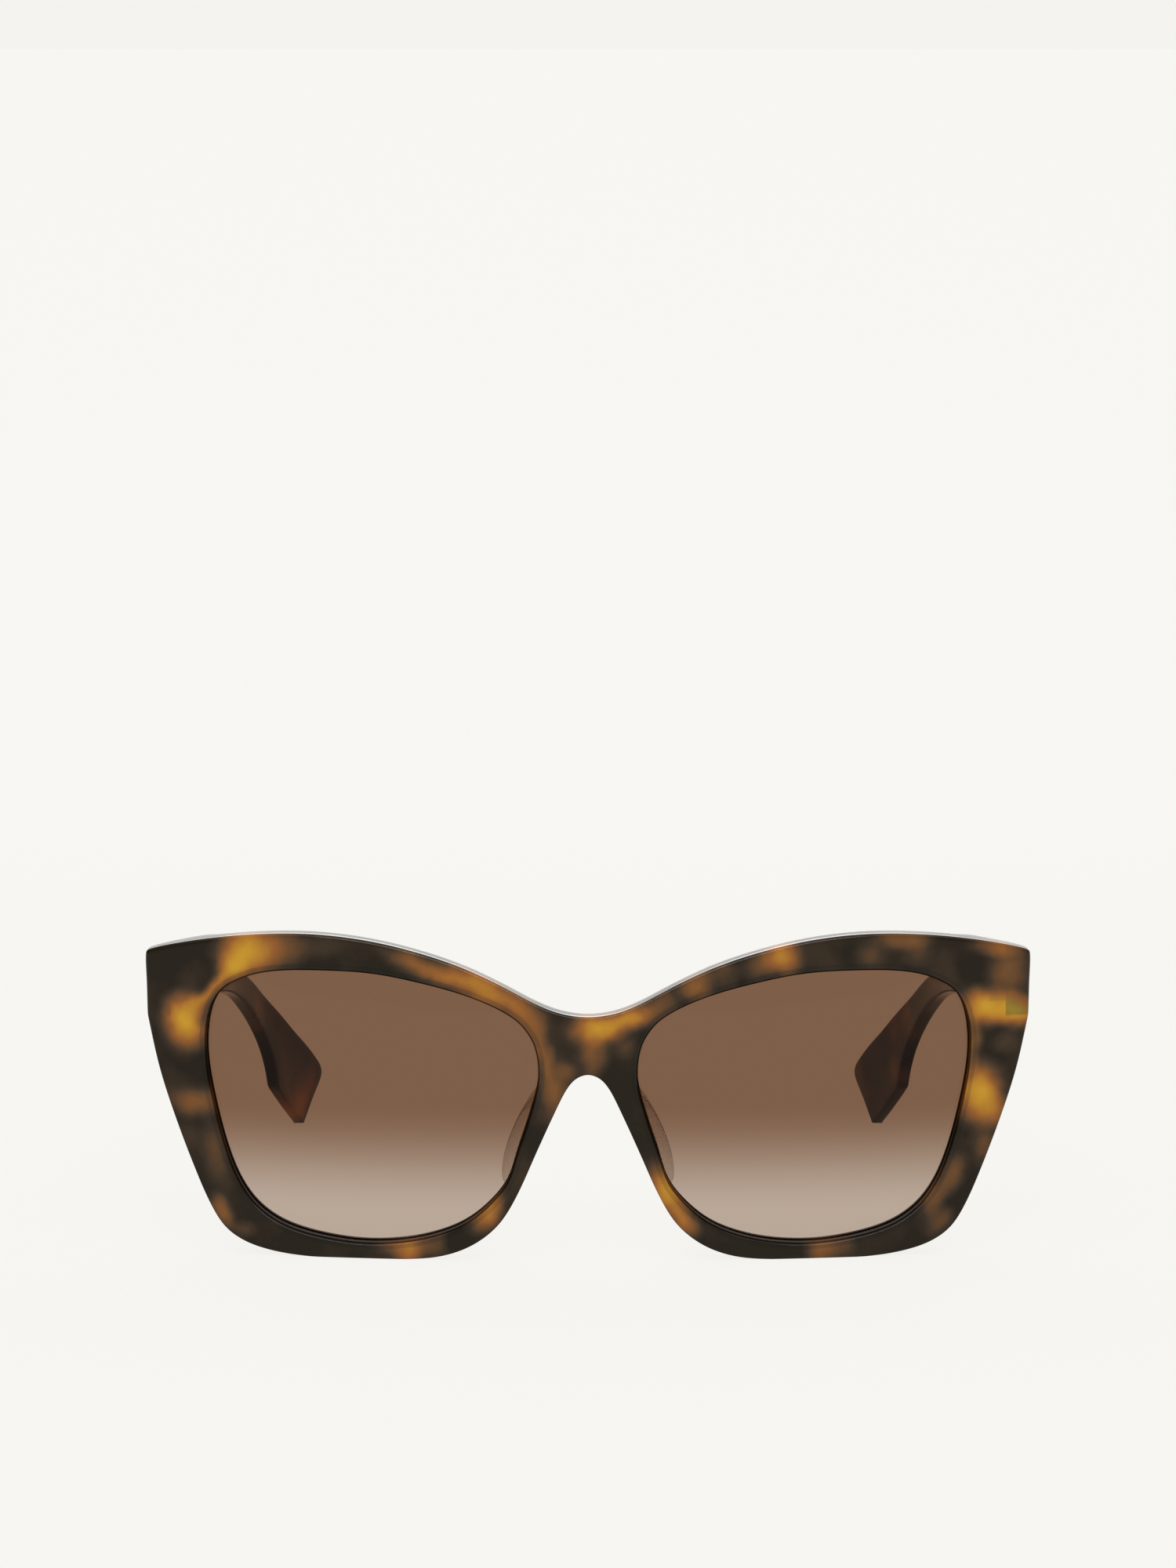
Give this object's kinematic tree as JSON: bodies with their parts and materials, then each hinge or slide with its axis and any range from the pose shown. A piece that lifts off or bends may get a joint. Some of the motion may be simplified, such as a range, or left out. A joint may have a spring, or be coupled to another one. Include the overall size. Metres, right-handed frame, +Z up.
{
  "type": "cat eye sunglasses",
  "caption": "Full-rim cat eye sunglasses in tortoise acetate with gradient lenses, nose pads and folding temples with flared tips.",
  "frame": {"origin": "on the surface the glasses stand on, under the middle of the box round the open glasses", "axes": "+Z up, front towards -Y, temples run back along +Y; the wearer's right is -X and left is +X"},
  "size_m": [0.1468, 0.1456, 0.0536],
  "materials": {
    "acetate": "polished tortoise acetate, dark brown with soft amber patches",
    "clear_acetate": "polished clear acetate nose pads",
    "lens": "brown tinted lens, dark at the top and fading to pale at the bottom",
    "steel": "bare nickel silver hinge hardware and steel core wire"
  },
  "bodies": {
    "front": {"front_frame": "acetate", "lens_right": "lens", "lens_left": "lens", "nose_pad_right": "clear_acetate", "nose_pad_left": "clear_acetate", "front_hinge_right": "steel", "front_hinge_left": "steel", "hinge_screw_right": "steel", "hinge_screw_left": "steel"},
    "temple_right": {"temple_right": "acetate", "temple_hinge_right": "steel", "core_wire_right": "steel"},
    "temple_left": {"temple_left": "acetate", "temple_hinge_left": "steel", "core_wire_left": "steel"}
  },
  "joints": [
    {"name": "temple_left_fold", "type": "hinge", "parent": "front", "child": "temple_left", "pos_m": [0.0674, -0.05615, 0.0453], "axis": [0, 0, 1], "range_deg": [0, 84]},
    {"name": "temple_right_fold", "type": "hinge", "parent": "front", "child": "temple_right", "pos_m": [-0.0674, -0.05615, 0.0453], "axis": [0, 0, -1], "range_deg": [0, 77]}
  ]
}
